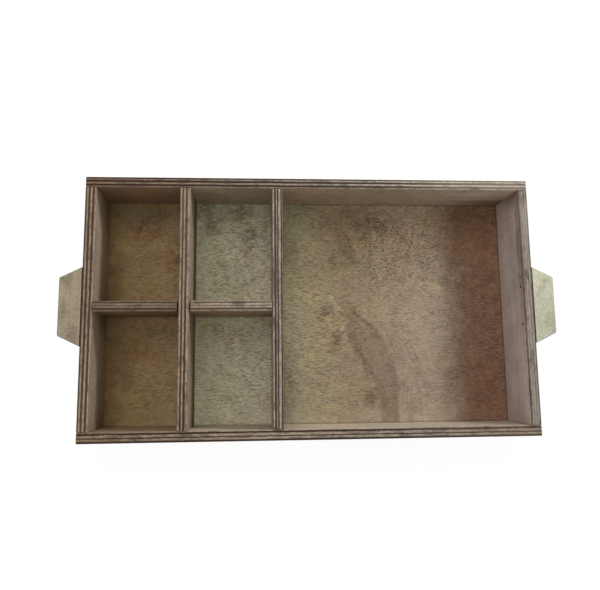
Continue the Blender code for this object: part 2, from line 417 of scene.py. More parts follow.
# %% Make the handles
def taper_handle(name):
    """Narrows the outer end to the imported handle's width there."""
    low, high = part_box(name)
    tip = low.x if abs(low.x) > abs(high.x) else high.x
    share = max(p.y for p in packed_points(name) if abs(p.x - tip) < MM) / high.y
    select_edges(boards[name], lambda a, b: max(abs(a.x - tip), abs(b.x - tip)) < TOUCHING)
    bpy.ops.transform.resize(value=(1, share, 1), center_override=(tip, 0, (low.z + high.z) / 2))
    work_in("OBJECT")
    return share


for name, joined in (("left_handle", "x+"), ("right_handle", "x-")):
    saw_board(name)
    print(name, "tip is", round(taper_handle(name), 3), "of the root")
    divide_edges(boards[name])
    ease_arrises(boards[name], glued_sides(name, joined))
    drill_board(name)
    finish_board(name)

bpy.data.objects.remove(drill)

# %% [markdown]
# ## Glue
# Between any two boards lies a glue line a third of a millimetre thick, just behind the boards'
# faces, which keeps daylight out of the joint. Each line fills the gap between two boards' boxes.
# Its edge is divided and shaken a little, because glue never stops in a straight line.

# %% Fill the joints
GLUE_SET_BACK = 0.45 * MM
GLUE_SHAKE = 0.2 * MM


def glue_line(first, second):
    """A thin slab that fills the gap between two boards."""
    (low_a, high_a), (low_b, high_b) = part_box(first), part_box(second)
    low = Vector(map(max, low_a, low_b))
    high = Vector(map(min, high_a, high_b))
    for i in range(3):
        if low[i] > high[i]:
            low[i], high[i] = high[i], low[i]
        else:
            low[i], high[i] = low[i] + GLUE_SET_BACK, high[i] - GLUE_SET_BACK
    line = add_block(low, high)
    divide_edges(line)
    work_in("EDIT")
    bpy.ops.mesh.select_all(action="SELECT")
    bpy.ops.transform.vertex_random(offset=GLUE_SHAKE, uniform=1.0, seed=len(bpy.data.objects))
    work_in("OBJECT")
    return line


glue_pairs = [(name, "base_panel") for name in boards if "wall" in name or "divider" in name]
between = ("left_end_wall", "right_end_wall", "lapped_divider", "main_divider")
glue_pairs += [(name, wall) for name in between for wall in ("front_wall", "back_wall")]
glue_pairs += [("cross_divider", "left_end_wall"), ("cross_divider", "main_divider"),
               ("left_handle", "left_end_wall"), ("right_handle", "right_end_wall")]
glue = join([glue_line(first, second) for first, second in glue_pairs])
glue.name = glue.data.name = "glue_lines"
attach(glue, "root")
print(len(glue_pairs), "glue lines")

# %% [markdown]
# ## Shader maths
# A long chain of Math nodes is hard to read. A small class wraps a node's output, so Python can
# say `1 - mask * 0.5` and add both of the Math nodes that it needs. A second class adds any other
# node in one call: its type, its settings, then its sockets.

# %% Write shader maths in Python
class Value:
    """A node's output. A sum, difference, product or quotient of it adds a Math node."""

    def __init__(self, nodes, output):
        self.nodes, self.output = nodes, output

    def maths(self, operation, left, right=0.0):
        return self.nodes.add("Math", {"operation": operation}, {0: left, 1: right})

    def __add__(self, other):
        return self.maths("ADD", self, other)

    def __sub__(self, other):
        return self.maths("SUBTRACT", self, other)

    def __rsub__(self, other):
        return self.maths("SUBTRACT", other, self)

    def __mul__(self, other):
        return self.maths("MULTIPLY", self, other)

    def __truediv__(self, other):
        return self.maths("DIVIDE", self, other)

    def __abs__(self):
        return self.maths("ABSOLUTE", self)

    __radd__ = __add__
    __rmul__ = __mul__


# %% Add any other node in one call
class Nodes:
    """A node tree, and the one method that adds a node to it."""

    def __init__(self, tree):
        self.tree = tree
        tree.nodes.clear()

    def add(self, kind, settings={}, sockets={}, output=0):
        """Adds a shader node, sets it first, then gives its sockets their values or links."""
        made = self.tree.nodes.new("ShaderNode" + kind)
        for setting, value in settings.items():
            if setting == "stops":
                set_stops(made.color_ramp, value)
            else:
                setattr(made, setting, value)
        for socket, value in sockets.items():
            if isinstance(value, Value):
                self.tree.links.new(value.output, made.inputs[socket])
            else:
                made.inputs[socket].default_value = value
        return Value(self, made.outputs[output]) if len(made.outputs) else made


def set_stops(ramp, stops):
    """Gives a ramp its stops, each a place and a colour or a lightness."""
    while len(ramp.elements) < len(stops):
        ramp.elements.new(0.5)
    for element, (place, tone) in zip(ramp.elements, stops):
        element.position = place
        element.color = tone if isinstance(tone, tuple) else (tone, tone, tone, 1)


print("shader maths ready")

# %% [markdown]
# ## Words for patterns
# A few short functions name what every finish is made of: noise, masks made of it, coordinates
# that stretch it or push it about, soft steps and soft round spots. Places and sizes are in
# millimetres.

# %% Name the patterns
def clouds(where, size, detail=2.0, roughness=0.5):
    """Noise around 0.5, with patches of about this size."""
    return where.nodes.add("TexNoise", {}, {
        "Vector": where, "Scale": 1 / (size * MM), "Detail": detail, "Roughness": roughness})


def rise(value, start, end):
    """0 up to start, 1 from end, and a smooth change between them."""
    return value.nodes.add("MapRange", {"interpolation_type": "SMOOTHSTEP"},
                           {0: value, 1: start, 2: end})


def step(place, start, end):
    """The same for a place, from one place to another."""
    return rise(place, start * MM, end * MM)


def patches(where, size, edges, detail=2.0, roughness=0.5):
    """Clouds as a mask that rises between two edges."""
    return rise(clouds(where, size, detail, roughness), *edges)


def vector_maths(operation, first, sockets, output=0):
    """A Vector Math node."""
    return first.nodes.add("VectorMath", {"operation": operation}, {0: first, **sockets}, output)


def drawn_out(where, times):
    """Coordinates that stretch a pattern this many times along x, y and z."""
    return vector_maths("MULTIPLY", where, {1: [1 / along for along in times]})


def unevenly(where, size, reach):
    """Coordinates that noise has pushed about."""
    noise = where.nodes.add("TexNoise", {}, {
        "Vector": where, "Scale": 1 / (size * MM), "Detail": 3.0}, "Color")
    centred = vector_maths("SUBTRACT", noise, {1: (0.5, 0.5, 0.5)})
    return vector_maths("ADD", where, {1: drawn_out(centred, [1 / (reach * MM)] * 3)})


def spot(where, centre, reach, turn=0.0):
    """1 at a place and 0 outside an ellipsoid round it, turned by degrees about Z."""
    offset = vector_maths("SUBTRACT", where, {1: [part * MM for part in centre]})
    if turn:
        offset = where.nodes.add("VectorRotate", {"rotation_type": "Z_AXIS"},
                                 {"Vector": offset, "Angle": math.radians(-turn)})
    shares = drawn_out(offset, [part * MM for part in reach])
    return rise(vector_maths("LENGTH", shares, {}, "Value"), 1.0, 0.2)


def split(vector):
    """The three numbers of a vector."""
    outputs = vector.nodes.add("SeparateXYZ", {}, {0: vector}).output.node.outputs
    return [Value(vector.nodes, output) for output in outputs]


print("patterns ready")

# %% [markdown]
# ## Words for colours
# Colours are written as they look on a screen, 0 to 255, and turned into the linear numbers that
# nodes use. Stain drifts along a board, so many tones are ramps of stops along a line, each a place
# in millimetres and a tone.

# %% Name the colours
def shade(red, green, blue):
    """A screen colour in linear form."""
    return tuple(((part / 255 + 0.055) / 1.055) ** 2.4 for part in (red, green, blue)) + (1.0,)


def shades(*stops):
    """Stops for changing, each a place and a screen colour."""
    return [(place, shade(*colour)) for place, *colour in stops]


def tints(*stops):
    """Stops for changing, each a place and one factor, or one for each colour."""
    return [(place, factors[0] if len(factors) == 1 else (*factors, 1.0))
            for place, *factors in stops]


def evenly(tone):
    """The same tone all along the tray."""
    return [(-215, tone), (215, tone)]


def changing(place, stops):
    """The tone at this place, between the stops on either side of it."""
    start, end = stops[0][0], stops[-1][0]
    shares = [((at - start) / (end - start), tone) for at, tone in stops]
    return place.nodes.add("ValToRGB", {"stops": shares},
                           {0: (place - start * MM) / ((end - start) * MM)})


def blend(mask, under, over):
    """One colour over another, where the mask is 1."""
    return mask.nodes.add("Mix", {"data_type": "RGBA"}, {0: mask, 6: under, 7: over}, 2)


def toned(colour, factor):
    """A colour made lighter or darker."""
    return vector_maths("SCALE", colour, {"Scale": factor})


def tinted(colour, tint):
    """A colour seen through another."""
    return vector_maths("MULTIPLY", colour, {1: tint})


print("a mid brown:", [round(part, 3) for part in shade(120, 100, 80)])

# %% [markdown]
# ## Plywood
# Plywood is a stack of thin sheets, whose grain runs along the board in one and across it in the
# next. On a cut edge the first kind is a pale, streaky line and the second a dark, porous one,
# because stain soaks into end grain. So the finish measures how far through the board a point lies,
# and a ramp gives each ply its place. Stretched noise makes the lines wander and breaks them up. At
# a board's end pale and dark change places.

# %% Draw the plies on the cut edges
# dark stain for pores and end grain, also the painted shade along the feet of walls and dividers
DUST_AND_SHADE = shade(44, 32, 24)
EDGE_DARK = shades((-190, 66, 43, 30), (60, 66, 50, 40), (190, 112, 93, 78))
EDGE_PALE = shades((-190, 200, 174, 144), (60, 204, 188, 168), (190, 196, 186, 168))
PLY_WANDER = 0.07
LINE_STRETCH, NICK_STRETCH = 9.0, 2.5
MIDDLE_PLY = 0.3


def facing(nodes, axis):
    """How squarely the surface faces along an axis, from 0 to 1."""
    normal = nodes.add("NewGeometry", output="Normal")
    return abs(split(normal)[axis])


def ply_light(where, sheet, lines, nicks):
    """How pale the ply is here, from 0 to 1."""
    axis = sheet["across"]
    low, high = sheet["box"]
    depth = (split(where)[axis] - low[axis]) / (high[axis] - low[axis])
    wander = (clouds(lines, 3) - 0.5) * PLY_WANDER
    fray = (clouds(nicks, 0.8) - 0.5) * PLY_WANDER
    stops = {"stops": sheet["plies"].items()}
    ply = where.nodes.add("ValToRGB", stops, {0: depth + wander + fray})
    light = rise(ply, 0.15, 0.75)
    at_end = rise(facing(where.nodes, sheet["along"]), 0.7, 0.9)
    return light + at_end * (0.9 - 1.8 * light)


def ply_edges(where, sheet):
    """The colour and height of a sheet's cut edges."""
    lines = drawn_out(where, only(sheet["across"], 1.0, LINE_STRETCH))
    nicks = drawn_out(where, only(sheet["across"], 1.0, NICK_STRETCH))
    broken = patches(nicks, 1.5, (0.36, 0.6), 3.0, 0.6)
    streaked = patches(lines, 1.8, (0.34, 0.62))
    light = ply_light(where, sheet, lines, nicks) * (0.35 + broken * 0.4 + streaked * 0.25)
    place = split(where)
    contrast = changing(place[sheet["along"]], sheet["contrast"])
    pale = MIDDLE_PLY + (light - MIDDLE_PLY) * contrast
    colour = blend(pale, changing(place[LONG], EDGE_DARK), changing(place[LONG], EDGE_PALE))
    colour = tinted(colour, changing(place[sheet["along"]], sheet["rim"]))
    pores = patches(where, 0.5, (0.56, 0.68), 1.0) * (1 - pale)
    colour = blend(pores * 0.5, colour, DUST_AND_SHADE)
    soaked = patches(nicks, 7, (0.54, 0.68), 3.0)
    return blend(soaked * 0.45, colour, DUST_AND_SHADE), pale * 0.5 - pores * 0.7


print("ply edges ready")

# %% [markdown]
# ## Veneer and stains
# The broad faces are outer veneer, with pores and streaks along the grain. Its stain drifts along
# the board, and may be another on the outside. Near the foot the colour differs, and that is
# painted shade. Smudges where wet stain gathered, and painted shadows where one board shades
# another, lie over veneer and edges alike. Noise pushes their coordinates about, so their outlines
# are ragged.

# %% Draw the veneer and the stains
# the colour of soaked stain, also used for painted shadows on the walls
SOAK_AND_SHADOW = shade(76, 48, 32)
FIGURE_STRETCH, FIBRE_STRETCH = 14.0, 3.0
FOOT_SHADE_TOP, FOOT_SHADE_FULL = 38, 14


def veneer(where, sheet):
    """The colour and height of a sheet's outer veneer."""
    figure = drawn_out(where, only(sheet["along"], FIGURE_STRETCH))
    fibres = drawn_out(where, only(sheet["along"], FIBRE_STRETCH))
    place = split(where)
    run = place[sheet["along"]]
    # near the floor the colour turns to the foot's, painted shade where the foot is darker
    colour = blend(step(place[TALL], FOOT_SHADE_TOP, FOOT_SHADE_FULL),
                   changing(run, sheet["face"]), changing(run, sheet["foot"]))
    if sheet["outer"]:
        middle = abs(sum(corner[sheet["across"]] for corner in sheet["box"])) / 2
        outside = rise(abs(place[sheet["across"]]), middle - MM, middle + MM)
        colour = blend(outside, colour, changing(run, sheet["outer"]))
    bands = patches(figure, 5, (0.34, 0.64), 3.0)
    cloudy = patches(where, 30, (0.35, 0.66), 3.0, 0.6)
    colour = toned(colour, 0.84 + bands * 0.14 + cloudy * 0.18)
    grain = patches(fibres, 1.1, (0.34, 0.66), 3.0, 0.6)
    colour = toned(colour, 0.86 + grain * 0.26)
    pores = patches(fibres, 0.6, (0.58, 0.7))
    return blend(pores * 0.4, colour, DUST_AND_SHADE), bands * 0.2 + grain * 0.3 - pores * 0.8


def stain_spots(where, colour, spots, stain, push):
    """Ragged smudges, some painted light and shade, each a centre, reach, strength and maybe a turn.
    """
    ragged = unevenly(where, 9, push)
    mottle = patches(drawn_out(where, only(LONG, 1.6)), 1.4, (0.4, 0.6), 3.0, 0.65)
    for centre, reach, strength, *turn in spots:
        mask = spot(ragged, centre, reach, *turn)
        colour = blend(mask * (0.35 + 0.65 * mottle) * strength, colour, stain)
    return colour


print("veneer ready")

# %% Feed the shader
MATT, GLOSS_DRIFT = 0.72, 0.3
RELIEF = 0.12 * MM
BROAD_FACE = (0.82, 0.94)


def new_finish(name):
    """An empty material, its nodes and its Object coordinates."""
    material = bpy.data.materials.new(name)
    material.use_nodes = True
    nodes = Nodes(material.node_tree)
    return material, nodes, nodes.add("TexCoord", output="Object")


def complete(nodes, where, colour, height, matt=MATT):
    """Feeds the shader: matt, with a little relief and uneven gloss."""
    roughness = matt + (clouds(where, 12) - 0.5) * GLOSS_DRIFT
    bump = nodes.add("Bump", {}, {"Strength": 0.8, "Distance": RELIEF, "Height": height})
    surface = nodes.add("BsdfPrincipled", {}, {
        "Base Color": colour, "Roughness": roughness, "Specular IOR Level": 0.25, "Normal": bump})
    nodes.add("OutputMaterial", {}, {"Surface": surface})


def plywood(name, sheet):
    """A plywood board's finish."""
    material, nodes, where = new_finish(name)
    edge_colour, edge_height = ply_edges(where, sheet)
    face_colour, face_height = veneer(where, sheet)
    face = rise(facing(nodes, sheet["across"]), *BROAD_FACE)
    colour = blend(face, edge_colour, face_colour)
    # smudges of stain, and painted shadows where one board shades another
    colour = stain_spots(where, colour, sheet["spots"], SOAK_AND_SHADOW, push=8)
    complete(nodes, where, colour, edge_height + face * (face_height - edge_height))
    return material


def put_on(piece, material):
    """Gives a piece this material and no other."""
    piece.data.materials.clear()
    piece.data.materials.append(material)


print("plywood finish ready")

# %% [markdown]
# ## One finish for each board
# Every board was cut from its own piece of the sheet, so each has its own numbers. `plies` says
# how pale the lines are from the side with the lower coordinate, 0, to the other, 1. `face` and
# `foot` are the veneer's colours near the rim and near the floor, where a darker foot is painted
# shade, and `outer` is that of the wall's outside. `rim` tints the cut edges, and `contrast` says
# how much their plies stand out. The spots are smudges of stain and painted shadows.

# %% Gather a board's numbers
def sheet_of(name, along, across, plies, face, rim, **more):
    """A board's numbers, with plain ones for what isn't given."""
    plain = {"foot": face, "outer": None, "spots": (), "contrast": evenly(1.0)}
    return {**plain, "box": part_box(name), "along": along, "across": across, "plies": plies,
            "face": face, "rim": rim, **more}


def dress(name, *given, **more):
    """Gives one board its plywood finish."""
    put_on(boards[name], plywood("stained_plywood_" + name, sheet_of(name, *given, **more)))
    print("finished", name)


def from_other_side(plies):
    """The same plies, counted from the other face."""
    return {1 - place: light for place, light in reversed(plies.items())}


OUTER_PLIES = {0: 0.1, 0.12: 0, 0.2: 0.8, 0.28: 0.8, 0.36: 0, 0.48: 0, 0.55: 1, 0.64: 1, 0.72: 0,
               0.84: 0, 0.92: 0.8, 1: 0.8}
print("plies drawn on a wall's edge:", len(OUTER_PLIES) // 2)

# %% Finish the long walls
dress("front_wall", LONG, WIDE,
      {0: 0.1, 0.14: 0, 0.25: 0.8, 0.36: 0.8, 0.45: 0, 0.57: 0.9, 0.7: 0.9, 0.78: 0, 0.88: 0,
       0.95: 0.9},
      shades((-186, 157, 133, 105), (-110, 157, 133, 105), (-109, 174, 162, 141),
             (-30, 176, 163, 143), (20, 186, 173, 153), (186, 186, 173, 154)),
      tints((-214, 0.7, 0.67, 0.64), (-110, 0.76), (-40, 0.84), (20, 0.82),
            (90, 0.8, 0.78, 0.76), (214, 0.82, 0.73, 0.66)),
      outer=shades((-214, 160, 137, 108), (-60, 172, 152, 125), (214, 164, 143, 116)))
back_left = shades((-186, 137, 107, 82), (-110, 141, 112, 88), (-109, 165, 147, 122),
                   (-31, 167, 150, 126), (-30, 166, 146, 121))
# towards the right end the face is painted paler and the foot darker, with a dark spot in the
# corner: painted light above, and painted shadow that the right wall throws on the back wall
dress("back_wall", LONG, WIDE, from_other_side(OUTER_PLIES),
      back_left + shades((90, 169, 149, 126), (130, 182, 165, 146), (150, 196, 178, 160),
                         (186, 222, 204, 184)),
      tints((-214, 0.6, 0.54, 0.5), (-120, 0.6, 0.54, 0.5), (-70, 0.62), (-40, 0.66),
            (60, 0.72), (130, 0.98, 1.0, 1.01), (214, 1.0, 1.03, 1.06)),
      foot=back_left + shades((90, 167, 147, 122), (130, 178, 158, 136), (150, 176, 154, 130),
                              (172, 166, 142, 116), (186, 150, 122, 90)),
      outer=shades((-214, 158, 136, 109), (40, 166, 147, 121), (214, 172, 152, 128)),
      spots=[((190, 103, 0), (68, 9, 62), 0.62)],
      contrast=tints((-214, 1.0), (90, 1.0), (140, 0.72), (214, 0.72)))

# %% Finish the end walls
# the darker foot is painted shade, and the two spots are painted shadows of the back wall and the
# cross divider on this face
dress("left_end_wall", WIDE, LONG, OUTER_PLIES,
      shades((-104, 154, 138, 117), (104, 167, 150, 128)),
      tints((-104, 1.02, 1.08, 1.12), (104, 0.89)),
      foot=shades((-104, 133, 112, 87), (104, 160, 136, 105)),
      outer=shades((-104, 164, 143, 115), (104, 170, 150, 122)),
      spots=[((-186, 100, 15), (7, 50, 36), 0.72), ((-186, -6, 13), (7, 26, 32), 0.7)],
      contrast=evenly(0.8))
# the spot in the back corner is painted shadow, and the long spot a darker band just under the rim
dress("right_end_wall", WIDE, LONG,
      from_other_side({0: 0.2, 0.11: 0, 0.2: 0.8, 0.28: 0.9, 0.37: 0.2, 0.46: 0.9, 0.57: 0.9,
                       0.65: 0.3, 0.72: 0.9, 0.8: 0.7, 0.88: 0, 1: 0}),
      evenly(shade(198, 182, 176)),
      tints((-104, 0.96, 0.97, 1.03), (104, 0.84, 0.87, 0.93)),
      outer=shades((-104, 180, 164, 146), (104, 174, 156, 134)),
      spots=[((186, 45, 52), (5, 80, 9), 0.7), ((186, 107, 48), (7, 26, 44), 0.85)],
      contrast=tints((-104, 0.8), (0, 0.75), (60, 0.55), (104, 0.55)))

# %% Finish the dividers
dress("main_divider", WIDE, LONG,
      {0: 0.2, 0.08: 0.8, 0.15: 0.7, 0.24: 0, 0.34: 0, 0.42: 0.8, 0.52: 0, 0.58: 0, 0.65: 1,
       0.76: 1, 0.86: 0, 0.92: 0, 1: 0.7},
      evenly(shade(156, 140, 120)),
      evenly((0.95, 1.0, 1.05, 1)),
      spots=[((-32, 28, 54), (5, 32, 6), 0.7)],
      contrast=evenly(0.85))
# the darker foot is painted shade
dress("lapped_divider", WIDE, LONG,
      {0: 0.1, 0.1: 0.8, 0.19: 0.8, 0.27: 0, 0.36: 0, 0.42: 0.9, 0.51: 0.9, 0.58: 0, 0.7: 0,
       0.78: 0.9, 0.89: 0.9, 0.94: 0.4, 1: 0.7},
      evenly(shade(147, 134, 116)),
      tints((-104, 0.92), (104, 1.0)),
      foot=evenly(shade(110, 90, 62)),
      contrast=tints((-104, 0.9), (0, 0.82), (30, 0.66), (104, 0.66)))
dress("cross_divider", LONG, WIDE,
      {0: 0.6, 0.09: 0.8, 0.17: 0, 0.3: 0, 0.38: 0.8, 0.46: 0.8, 0.52: 0.1, 0.62: 0.9, 0.74: 0.9,
       0.8: 0.1, 0.88: 0.2, 0.95: 0.9},
      shades((-186, 119, 93, 64), (-110, 119, 93, 64), (-109, 146, 125, 97), (-34, 146, 125, 97)),
      tints((-186, 0.68), (-115, 0.64), (-105, 1.08, 1.14, 1.14), (-34, 1.13, 1.2, 1.2)),
      contrast=evenly(0.7))

# %% Finish the handles
FLAT_PLIES = {0: 0.2, 0.14: 0.8, 0.28: 0.8, 0.36: 0, 0.48: 0, 0.56: 0.9, 0.68: 0.9, 0.76: 0,
              0.88: 0, 0.95: 0.8}
dress("left_handle", WIDE, TALL, FLAT_PLIES, evenly(shade(180, 165, 140)), evenly(0.8),
      spots=[((-209, 24, 54), (8, 16, 6), 0.5, 30), ((-210, -4, 54), (7, 10, 6), 0.35),
             ((-201, -22, 54), (8, 12, 6), 0.35, 30)])
# its paler colour is partly the handle's own, partly painted light falling from the right
dress("right_handle", WIDE, TALL, FLAT_PLIES, evenly(shade(214, 213, 186)), evenly(0.8),
      spots=[((204, 16, 54), (6, 16, 6), 0.25, -30), ((210, -10, 54), (6, 18, 6), 0.2, -30)])

# %% [markdown]
# ## The base's stain
# The floor of the bays is one sheet of veneer, but its stain differs: olive brown in the first two
# bays, greenish grey in the next two, and from yellow olive to red brown in the large one. Each is
# a ramp along the tray. Some tones are painted light and shade: the first bays darken towards the
# left wall, the second ones pale beside the lapped divider, and the red brown by the right wall
# is partly painted shadow of that wall. A second ramp across it, here called wear, is painted light
# and shade: lighter towards the front and back walls and beside the cross divider. Noise pushes the
# first ramp's places about, so no tone ends in a straight line.

# %% Tint the bays
# the dark start by the left wall is painted shade, the pale start beside the lapped divider is
# painted light, and the red brown end by the right wall is partly painted shadow
FIRST_BAYS = shades(
    (-190, 114, 92, 59), (-175, 128, 105, 68), (-166, 143, 119, 81), (-150, 149, 124, 86),
    (-112, 164, 139, 103))
SECOND_BAYS = shades(
    (-108, 212, 206, 172), (-99, 190, 187, 155), (-88, 180, 177, 146), (-72, 186, 181, 153),
    (-40, 193, 187, 162), (-30, 206, 197, 171))
LARGE_BAY = shades(
    (-34, 148, 146, 118), (-4, 154, 144, 114), (21, 152, 137, 110), (42, 147, 129, 103),
    (70, 155, 137, 114), (100, 163, 144, 122), (118, 159, 142, 121), (133, 142, 122, 103),
    (147, 125, 97, 75), (190, 131, 99, 78))
# painted light and shade across the tray: lighter towards the front and back walls and beside the
# cross divider
SMALL_BAY_LIGHT_AND_SHADE = tints(
    (-104, 1.18), (-96, 1.1), (-85, 1.0), (-60, 0.96), (-35, 1.0), (-25, 1.08), (-8, 1.25),
    (8, 1.15), (22, 1.02), (40, 0.93), (70, 0.93), (95, 1.0), (104, 1.05))
LARGE_BAY_LIGHT_AND_SHADE = tints(
    (-104, 1.28, 1.3, 1.4), (-98, 1.2, 1.22, 1.31), (-88, 1.08, 1.1, 1.17),
    (-60, 0.99, 0.99, 1.04), (-26, 0.97, 0.97, 1.0), (10, 0.95, 0.95, 0.96),
    (48, 1.04, 1.04, 1.03), (71, 1.01, 0.99, 0.94), (89, 1.09, 1.08, 1.04),
    (104, 1.17, 1.19, 1.2))
YELLOW, ROSY = shade(176, 160, 104), shade(156, 118, 104)


def bay_tints(where):
    """The stain's colour over the whole sheet, with painted light and shade in it."""
    x, y = split(where)[:2]
    drift = split(unevenly(where, 16, 26))[LONG]
    in_second = step(x, -110.4, -109.2)
    in_large = step(x, -30.6, -29.6)
    small_bays = blend(in_second, changing(drift, FIRST_BAYS), changing(drift, SECOND_BAYS))
    red_shadow_bulge = spot(where, (130, 8, 6), (80, 76, 60)) * (8 * MM)
    # in the large bay the tones lean a little and the red ones bulge, following the edge of the
    # right wall's painted shadow
    drift += y * 0.03 + 1.5 * MM - red_shadow_bulge
    colour = blend(in_large, small_bays, changing(drift, LARGE_BAY))
    # wear: painted light and shade across the tray
    wear = blend(in_large, changing(y, SMALL_BAY_LIGHT_AND_SHADE), changing(y, LARGE_BAY_LIGHT_AND_SHADE))
    colour = tinted(colour, wear)
    yellow = patches(drawn_out(where, only(LONG, 1.6)), 13, (0.5, 0.66), 3.0)
    colour = blend(yellow * (0.2 - 0.16 * step(x, 116, 136)), colour, YELLOW)
    rosy = patches(drawn_out(where, only(WIDE, 1.6)), 15, (0.52, 0.68), 3.0)
    return blend(rosy * 0.18, colour, ROSY)


print("tints:", len(FIRST_BAYS + SECOND_BAYS + LARGE_BAY), "stops in three ramps")

# %% [markdown]
# ## The flame
# Where the veneer knife cuts through a curl in the wood it leaves a flame, a long leaf with dark
# outlines. This one leans right on its way from the middle of the large bay to the front wall. It
# gets coordinates of its own, along it and outwards from its bent middle line, and each part of it
# is a soft step on one or both.

# %% Draw the flame
FLAME_PLACE = 39 * MM
FLAME_LEAN = 0.515
FLAME_LEAN_ENDS = 70 * MM
FLAME_BROWN, FLAME_LINE, FLAME_GLINT = shade(130, 107, 89), shade(88, 62, 44), shade(196, 176, 150)


def flame(where, colour):
    """Adds the flame to the colour."""
    x, y = split(where)[:2]
    along = 0.0 - y
    lean = along.maths("MINIMUM", along, FLAME_LEAN_ENDS) * FLAME_LEAN
    sway = (clouds(drawn_out(where, only(WIDE, 3.0)), 8) - 0.5) * (6 * MM)
    bulge = step(along, 2, 20) * step(along, 64, 38) * (2.8 * MM)
    offset = x - FLAME_PLACE - lean + sway - bulge
    half = 5.5 * MM + bulge
    half = half + step(along, -4, 20) * (6.8 * MM) - step(along, 56, 78) * (4.5 * MM)
    present = step(along, -20, 5) * step(along, 116, 94)
    inside = step(abs(offset) - half, 3.0, -3.0) * present
    beyond = offset - half
    outside = step(beyond, 1, 4) * step(beyond, 40, 14) * step(along, -10, 30)
    left_line = step(abs(offset + half), 6, 0.5)
    left_line *= step(along, 10, 30) * step(along, 112, 66)
    right_line = step(abs(beyond + 3 * MM), 5.5, 0.5) * present
    right_line *= 0.35 + 0.65 * step(along, 34, 14) + 0.3 * step(along, 52, 68)
    glint = step(abs(offset + half + 5 * MM), 4, 1)
    glint *= step(along, -18, -6) * step(along, 34, 16)
    rows = where.nodes.add("CombineXYZ", {}, {0: offset, 1: along / FIGURE_STRETCH})
    streaks = patches(rows, 1.9, (0.38, 0.62))
    broken = 0.45 + 0.55 * patches(where, 3.5, (0.36, 0.64), 3.0)
    colour = blend(inside * 0.52, colour, FLAME_BROWN)
    colour = blend(glint * 0.25, colour, FLAME_GLINT)
    colour = toned(colour, 1.03 - outside * streaks * 0.18 - inside * streaks * 0.09)
    return blend((left_line * 0.56 + right_line * 0.42) * broken, colour, FLAME_LINE)


print("flame starts", round(FLAME_PLACE / MM), "mm right of the middle")

# %% [markdown]
# ## Smudges on the floor
# Use has left the floor blotchy: brown where something was spilt, rusty and mossy where the stain
# is warmer or cooler. Each smudge is listed one by one. One mossy patch, by the back wall beside
# the main divider, is also painted light on a shaded corner. Along the foot of every wall and
# divider lies a dark line of painted shade, with grime and glue.

# %% List the smudges and the dark lines
BROWN, RUST, MOSS = shade(60, 39, 22), shade(132, 78, 46), shade(170, 178, 148)
FLOOR, SMUDGE_DEPTH = 6, 4


def on_floor(*smudges):
    """Smudges, each given by x, y, its reach along both, its strength and its turn."""
    return [((x, y, FLOOR), (along, across, SMUDGE_DEPTH), *rest)
            for x, y, along, across, *rest in smudges]


BROWN_SMUDGES = on_floor(
    (16, -1, 12, 13, 0.72, 30), (26, -28, 8, 20, 0.62, -25), (57, -80, 13, 14, 0.64),
    (30, -4, 7, 8, 0.4), (62, 84, 26, 16, 0.5), (37, 60, 14, 22, 0.5), (45, 84, 70, 22, 0.4),
    (26, 46, 14, 14, 0.3), (-18, 56, 12, 20, 0.2), (-66, 94, 20, 15, 0.6), (-58, 75, 24, 10, 0.5),
    (-54, 64, 14, 22, 0.55), (-39, 70, 10, 28, 0.4), (-91, 82, 16, 15, 0.6),
    (-100, 95, 16, 15, 0.4), (-70, 32, 34, 30, 0.16), (-145, 89, 34, 10, 0.5),
    (-128, 98, 60, 10, 0.25), (-157, 82, 8, 8, 0.6), (-120, 50, 9, 32, 0.45),
    (-146, -19, 11, 9, 0.55), (-168, -60, 16, 50, 0.2), (-20, -70, 12, 52, 0.4),
    (120, 76, 34, 24, 0.15), (140, 30, 22, 34, 0.25), (166, 40, 22, 30, 0.3),
    (156, 90, 34, 30, 0.35))
RUSTY_SMUDGES = on_floor(
    (-152, 76, 32, 16, 0.7), (-128, 54, 20, 28, 0.6), (-184, -66, 12, 40, 0.5),
    (-154, -36, 26, 20, 0.5), (168, 60, 24, 30, 0.3), (164, -72, 26, 40, 0.35))
# the patch by the back wall at x -26 is partly mossy colour, partly painted light on a shaded corner
MOSSY_SMUDGES_AND_LIGHT = on_floor(
    (-16, 84, 28, 50, 0.55), (-26, 103, 26, 16, 1.0), (-160, 96, 34, 14, 0.3),
    (-98, 56, 18, 50, 0.35), (-80, 98, 26, 12, 0.4), (-98, -50, 18, 54, 0.35))
FOOT_LINES_X = (-114.3, -34.6, -25.6, 186)
FOOT_LINES_Y = (103.75, 4.5)


def foot_shade_lines(where):
    """Painted shade, with grime and glue, along the foot of each wall and divider."""
    x, y = split(where)[:2]
    lines = [abs(x - place * MM) for place in FOOT_LINES_X]
    lines += [abs(abs(y) - place * MM) for place in FOOT_LINES_Y]
    # the cross divider ends at the main one
    lines[-1] += step(x, -34, -32)
    nearest = lines[0]
    for line in lines[1:]:
        nearest = nearest.maths("MINIMUM", nearest, line)
    uneven = (clouds(where, 3) - 0.5) * (1.6 * MM)
    beside_main = step(abs(x + 24.6 * MM) + uneven, 2.2, 0.8)
    return step(nearest + uneven, 1.7, 0.3) * 0.4 + beside_main * 0.35


print(len(BROWN_SMUDGES + RUSTY_SMUDGES + MOSSY_SMUDGES_AND_LIGHT), "smudges")

# %% [markdown]
# ## The base's grain
# The grain shows as short dark flecks, which are cut pores full of stain. Most are dashes. In the
# back of the large bay they are short and crinkled, because the grain there runs out of the
# surface, and where the veneer was sanded more they are faint. Pale grit, a soft ground and long
# grain lie under them.

# %% Draw the flecks
FLECK_TINT = (0.36, 0.29, 0.22, 1)
NO_TINT = (1, 1, 1, 1)


